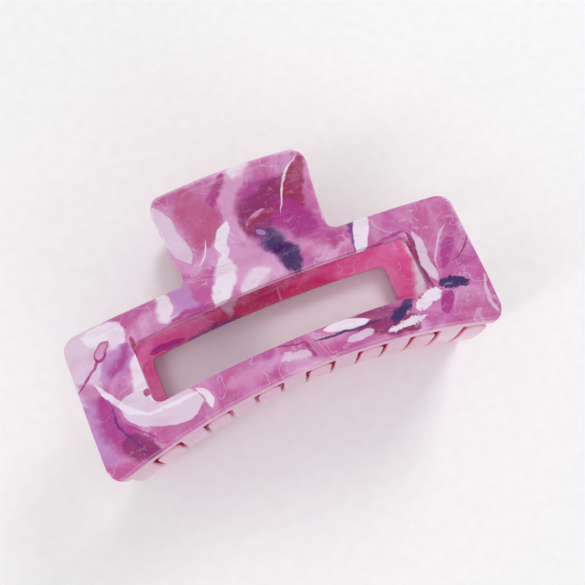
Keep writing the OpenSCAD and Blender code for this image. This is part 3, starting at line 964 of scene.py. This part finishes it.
def marbled_face(n, place, places, streaks, main, light, dark):
    """Clouds of three colours, fine veins, the placed streaks, and pale wisps and specks."""
    cloud = n.noise(place, 0.07, 4.0, 1.6)
    base = n.mix(n.step(cloud, 0.35, 0.7), PALETTE[main], PALETTE[light])
    shade = n.noise(places["soft"], 0.11, 2.0, 1.0)
    base = n.mix(n.step(shade, 0.58, 0.75, 0, 0.55), base, PALETTE[dark])
    ridge = n.noise(places["crisp"], 0.09, 2.0, 1.2)
    vein = n.math("ABSOLUTE", n.math("SUBTRACT", ridge, 0.5))
    base = n.mix(n.step(vein, 0.012, 0.0, 0, 0.35), base, PALETTE["pearl"])
    base = streaked(n, base, places, streaks)
    wisps = n.noise(n.vector("MULTIPLY", places["frayed"], (0.35, 1.2, 1.0)), 1.1, 5.0, 0.6)
    base = n.mix(n.step(wisps, 0.55, 0.8, 0, 0.4), base, PALETTE["pearl"])
    specks = n.noise(place, 1.6, 1.0)
    return n.mix(n.step(specks, 0.74, 0.78, 0, 0.35), base, PALETTE["magenta"])


def comb_mask(n, place):
    """1 on the toothed wall below the bend and 0 on the face."""
    parts = n.add("ShaderNodeSeparateXYZ")
    n.put(parts.inputs[0], place)
    height = n.math("ABSOLUTE", parts.outputs["Z"])
    from_centre = n.vector("SUBTRACT", place, (0, TOE_CENTRE_Y, 0))
    radius = n.vector("LENGTH", n.vector("MULTIPLY", from_centre, (1, 1, 0)))
    start = HALF_DEPTH - COMB_START
    low = n.step(height, start, start - COMB_FADE)
    edge = OUTER_BEND[0] + COMB_START - 0.3
    return n.math("MULTIPLY", low, n.step(radius, edge + COMB_FADE, edge))


def comb_colour(n, soft):
    """Pale beige to lilac, with crimson on the sides of the teeth, brightened as painted light
    where they lie in shade.
    """
    normal = n.add("ShaderNodeSeparateXYZ")
    n.put(normal.inputs[0], n.add("ShaderNodeTexCoord").outputs["Normal"])
    # The sides of the teeth get the crimson, painted lighter to stand in for light in their shade.
    tooth_side = n.step(n.math("ABSOLUTE", normal.outputs["X"]), 0.55, 0.85)
    cloud = n.step(n.noise(soft, 0.16, 3.0, 1.0), 0.35, 0.7)
    pale = n.mix(cloud, PALETTE["beige"], PALETTE["pale"])
    return n.mix(tooth_side, pale, PALETTE["crimson_with_painted_light"])


def marbled(name, streaks, main, light, dark):
    """Glossy marbled plastic with a paler comb."""
    material, n, shader = new_material(name)
    place = jaw_place(n)
    places = {"soft": n.warped(n.warped(place, 0.1, 1.6), 0.45, 0.5),
              "crisp": n.warped(place, 0.14, 0.8),
              "frayed": n.warped(n.warped(place, 0.5, 0.6), 2.2, 0.5)}
    base = marbled_face(n, place, places, streaks, main, light, dark)
    comb = n.math("MULTIPLY", comb_mask(n, place), COMB_STRENGTH)
    base = n.mix(comb, base, comb_colour(n, places["soft"]))
    n.put(shader.inputs["Base Color"], base)
    n.put(shader.inputs["Roughness"], n.step(n.noise(place, 0.4), 0.3, 0.7, 0.14, 0.24))
    shader.inputs["Subsurface Weight"].default_value = 0.2
    shader.inputs["Subsurface Radius"].default_value = (1.0, 0.55, 0.8)
    shader.inputs["Subsurface Scale"].default_value = SCATTER_DEPTH * MM
    shader.inputs["Coat Weight"].default_value = 0.5
    shader.inputs["Coat Roughness"].default_value = 0.04
    shader.inputs["IOR"].default_value = 1.5
    bump(n, shader, n.noise(place, 0.25, 3.0), 0.25, SURFACE_RIPPLE * MM)
    return material


def steel(name, tint, stretch, scale):
    """Drawn steel, with fine lines along x and faint oil marks."""
    material, n, shader = new_material(name)
    place = jaw_place(n)
    lines = n.noise(n.vector("MULTIPLY", place, stretch), scale, 4.0)
    marks = n.noise(place, 0.5, 3.0, 0.8)
    bright = colour(*tint)
    dull = colour(*[v * 0.9 for v in tint])
    n.put(shader.inputs["Base Color"], n.mix(n.step(marks, 0.4, 0.7), bright, dull))
    n.put(shader.inputs["Roughness"], n.step(lines, 0.3, 0.7, 0.18, 0.36))
    shader.inputs["Metallic"].default_value = 1.0
    bump(n, shader, lines, 0.12, 0.00003)
    return material


# ---------------------------------------------------------------- the object
def dressed(piece, material, node, body):
    piece.data.materials.clear()
    piece.data.materials.append(material)
    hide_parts(node)
    if body:
        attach(piece, body)


front = make_jaw("front_jaw_shell", 0)
back = make_jaw("back_jaw_shell", math.pi)
pin = make_pin()
spring = tube("torsion_spring_wire", spring_path(), WIRE / 2)

dressed(front, marbled("marbled_front", FRONT_STREAKS, "pink", "pale", "magenta"),
        "front_jaw", "front_jaw")
# The back jaw is drawn in brighter copies of the front's colours, as painted light for its shaded
# inner side.
dressed(back, marbled("marbled_back", BACK_STREAKS, "pink_with_painted_light", "pale_with_painted_light", "crimson_with_painted_light"),
        "back_jaw", "back_jaw")
dressed(pin, steel("drawn_steel", (200, 200, 205), (0.3, 3, 3), 2.0),
        "hinge_pin", "back_jaw")
dressed(spring, steel("spring_wire", (180, 182, 190), (2, 2, 2), 1.5),
        "torsion_spring", None)
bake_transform(spring)


# ---------------------------------------------------------------- camera, floor and lights
CAMERA_PLACE = (-15.9, -31.4, 200.4)
CAMERA_AZIMUTH = math.radians(-57)
CAMERA_ELEVATION = math.radians(77.1)
CAMERA_ROLL = math.radians(34)
LENS = 45.1
SHIFT_X = -0.105
SHIFT_Y = 0.015


def make_camera():
    az, el = CAMERA_AZIMUTH, CAMERA_ELEVATION
    backward = Vector((math.cos(el) * math.sin(az), -math.cos(el) * math.cos(az), math.sin(el)))
    level = Vector((math.cos(az), math.sin(az), 0))
    rise = backward.cross(level)
    sideways = level * math.cos(CAMERA_ROLL) + rise * math.sin(CAMERA_ROLL)
    data = bpy.data.cameras.new("camera")
    data.lens = LENS
    data.shift_x = SHIFT_X
    data.shift_y = SHIFT_Y
    data.clip_start = 0.01
    camera = bpy.data.objects.new("camera", data)
    turn = Matrix((sideways, backward.cross(sideways), backward)).transposed().to_4x4()
    camera.matrix_world = Matrix.Translation(Vector(CAMERA_PLACE) * MM) @ turn
    bpy.context.scene.collection.objects.link(camera)
    bpy.context.scene.camera = camera


def make_floor():
    half = 1.5
    mesh = bpy.data.meshes.new("floor")
    corners = [(-half, -half, 0), (half, -half, 0), (half, half, 0), (-half, half, 0)]
    mesh.from_pydata(corners, [], [(0, 1, 2, 3)])
    floor = bpy.data.objects.new("floor", mesh)
    bpy.context.scene.collection.objects.link(floor)
    material, n, shader = new_material("pale_floor")
    place = n.add("ShaderNodeTexCoord").outputs["Object"]
    grain = n.step(n.noise(place, 300.0), 0.3, 0.7)
    n.put(shader.inputs["Base Color"], n.mix(grain, colour(250, 249, 250), colour(247, 246, 247)))
    shader.inputs["Roughness"].default_value = 0.9
    shader.inputs["Specular IOR Level"].default_value = 0.1
    mesh.materials.append(material)


def make_light(name, place, size, power, size_y=None):
    data = bpy.data.lights.new(name, "AREA")
    data.shape = "RECTANGLE"
    data.size = size
    data.size_y = size_y or size
    data.energy = power
    light = bpy.data.objects.new(name, data)
    light.location = place
    light.rotation_euler = (-Vector(place)).to_track_quat("-Z", "Y").to_euler()
    bpy.context.scene.collection.objects.link(light)


def make_world():
    world = bpy.data.worlds.new("world")
    world.use_nodes = True
    background = world.node_tree.nodes["Background"]
    background.inputs["Color"].default_value = (1, 1, 1, 1)
    background.inputs["Strength"].default_value = 0.62
    bpy.context.scene.world = world


make_camera()
make_floor()
make_world()
make_light("key", (0.55, 0.45, 0.55), 0.35, 2.6)
make_light("left_strip", (-0.5, -0.1, 0.3), 0.08, 0.8, 0.6)
make_light("front_fill", (0.1, -0.7, 0.35), 0.4, 1.0)
bpy.context.scene.view_settings.view_transform = "Standard"
